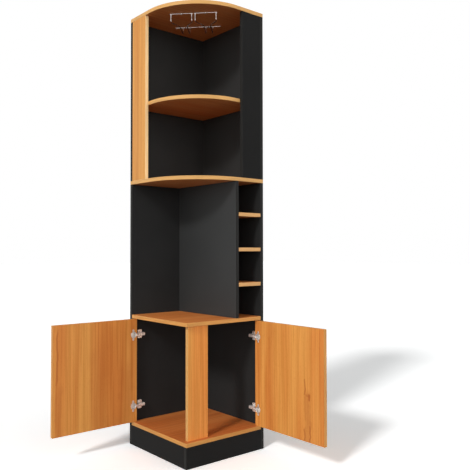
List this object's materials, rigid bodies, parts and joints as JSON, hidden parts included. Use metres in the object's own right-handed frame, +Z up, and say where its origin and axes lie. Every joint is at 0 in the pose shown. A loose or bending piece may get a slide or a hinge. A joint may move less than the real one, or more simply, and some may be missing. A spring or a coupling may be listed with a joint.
{
  "type": "corner bar cabinet",
  "caption": "Tall corner bar cabinet of coated boards, with a cupboard behind hinged doors, a niche with a bottle rack, and a rounded open display with wire glass racks.",
  "frame": {"origin": "the room corner at floor level: where the outer faces of the left and right wall panels meet the floor", "axes": "+Z up; +Y out of the left wall panel's outer face and +X out of the right wall panel's outer face, each towards the room wall behind it, so the fronts face -X and -Y"},
  "size_m": [0.7641, 0.7491, 1.8],
  "materials": {
    "honey_board": "satin honey-coloured wood grain coating",
    "black_board": "satin black coating",
    "chrome": "polished",
    "hinge_steel": "nickel plated",
    "zinc_screw": "zinc plated"
  },
  "bodies": {
    "cabinet": {"left_wall_panel_lower": "black_board", "right_wall_panel_lower": "black_board", "left_wall_panel_upper": "black_board", "right_wall_panel_upper": "black_board", "left_plinth_board": "black_board", "right_plinth_board": "black_board", "bottom_shelf": "honey_board", "counter_shelf": "honey_board", "deck_panel": "honey_board", "top_panel": "honey_board", "display_shelf": "honey_board", "corner_post": "honey_board", "left_stile": "honey_board", "right_stile": "black_board", "rack_divider": "black_board", "bottle_shelf_1": "honey_board", "bottle_shelf_2": "honey_board", "bottle_shelf_3": "honey_board", "left_lower_hinge_arm": "hinge_steel", "left_upper_hinge_arm": "hinge_steel", "right_lower_hinge_arm": "hinge_steel", "right_upper_hinge_arm": "hinge_steel", "left_lower_hinge_plate": "hinge_steel", "left_upper_hinge_plate": "hinge_steel", "right_lower_hinge_plate": "hinge_steel", "right_upper_hinge_plate": "hinge_steel", "glass_rack_left": "chrome", "glass_rack_right": "chrome", "glass_rack_left_front_screw": "zinc_screw", "glass_rack_left_rear_screw": "zinc_screw", "glass_rack_right_front_screw": "zinc_screw", "glass_rack_right_rear_screw": "zinc_screw", "lower_corner_screw_1": "zinc_screw", "lower_corner_screw_2": "zinc_screw", "upper_corner_screw_1": "zinc_screw", "upper_corner_screw_2": "zinc_screw", "bottom_shelf_screw_left": "zinc_screw", "bottom_shelf_screw_right": "zinc_screw", "counter_shelf_screw_left": "zinc_screw", "counter_shelf_screw_right": "zinc_screw", "display_shelf_screw_left": "zinc_screw", "display_shelf_screw_right": "zinc_screw", "deck_panel_screw_left": "zinc_screw", "deck_panel_screw_right": "zinc_screw", "top_panel_screw_left": "zinc_screw", "top_panel_screw_right": "zinc_screw", "corner_post_screw": "zinc_screw", "rack_divider_screw": "zinc_screw"},
    "left_door": {"left_door": "honey_board", "left_door_knob": "chrome", "left_lower_hinge_cup": "hinge_steel", "left_upper_hinge_cup": "hinge_steel", "left_lower_hinge_pin": "hinge_steel", "left_upper_hinge_pin": "hinge_steel"},
    "right_door": {"right_door": "honey_board", "right_door_knob": "chrome", "right_lower_hinge_cup": "hinge_steel", "right_upper_hinge_cup": "hinge_steel", "right_lower_hinge_pin": "hinge_steel", "right_upper_hinge_pin": "hinge_steel"}
  },
  "joints": [
    {"name": "left_door_hinge", "type": "hinge", "parent": "cabinet", "child": "left_door", "pos_m": [-0.3905, -0.0252, 0.31], "axis": [0, 0, 1], "range_deg": [-5, 90]},
    {"name": "right_door_hinge", "type": "hinge", "parent": "cabinet", "child": "right_door", "pos_m": [-0.0252, -0.3905, 0.31], "axis": [0, 0, -1], "range_deg": [-5, 90]}
  ]
}
